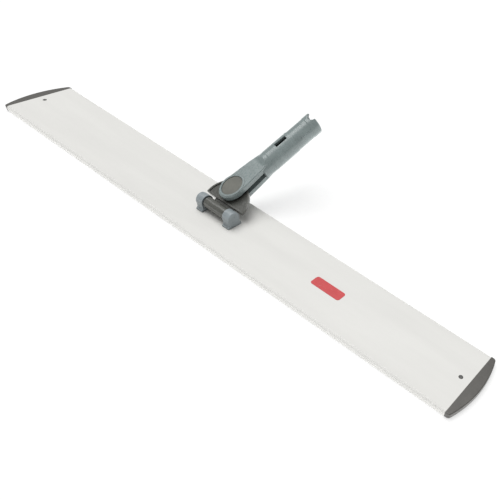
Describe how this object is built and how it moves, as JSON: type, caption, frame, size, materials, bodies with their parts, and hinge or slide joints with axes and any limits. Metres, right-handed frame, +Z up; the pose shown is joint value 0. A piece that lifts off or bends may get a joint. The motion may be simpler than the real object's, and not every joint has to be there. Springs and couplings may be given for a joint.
{
  "type": "flat mop frame with swivelling pole stub",
  "caption": "Long flat mop frame with hook strips underneath, dark bowed end caps, and a hinged, swivelling stub that takes a push-on pole.",
  "frame": {"origin": "centre of the plate's flat underside, where the pad face lies", "axes": "+X along the plate's length, +Y across it towards the side the stub leans over at rest, +Z up through the hinge"},
  "size_m": [0.6032, 0.1549, 0.0777],
  "materials": {
    "frame_white": "off-white powder coat, satin",
    "cap_dark": "moulded, fine texture",
    "pin_dark": "moulded",
    "block_grey": "moulded, satin",
    "stub_grey": "glass-filled, satin",
    "yoke_dark": "moulded, satin",
    "cover_taupe": "moulded, fine texture",
    "bush_dark": "dark acetal",
    "pin_steel": "ground",
    "screw_steel": "zinc plated",
    "hook_tape": "woven nylon with hooks",
    "tab_red": "printed film, plain"
  },
  "bodies": {
    "base": {"plate": "frame_white", "end_cap_left": "cap_dark", "end_cap_right": "cap_dark", "cap_pins": "pin_dark", "hook_strip_front": "hook_tape", "hook_strip_rear": "hook_tape", "bearing_block_left": "block_grey", "bearing_block_right": "block_grey", "block_screws": "screw_steel", "hinge_pin": "pin_steel", "colour_tab": "tab_red"},
    "yoke": {"yoke": "yoke_dark", "hinge_bushes": "bush_dark", "swivel_bush": "bush_dark", "swivel_washers": "bush_dark"},
    "stub": {"pole_stub": "stub_grey", "swivel_bolt": "screw_steel", "swivel_nut": "screw_steel", "swivel_cover_top": "cover_taupe", "swivel_cover_bottom": "cover_taupe"}
  },
  "joints": [
    {"name": "yoke_pitch", "type": "hinge", "parent": "base", "child": "yoke", "pos_m": [0, 0, 0.0144], "axis": [1, 0, 0], "range_deg": [-14.6, 143.4]},
    {"name": "stub_swivel", "type": "hinge", "parent": "yoke", "child": "stub", "pos_m": [0, 0.02253, 0.02568], "axis": [0, -0.4478, 0.8942], "range_deg": [-80.7, 99.3]}
  ]
}
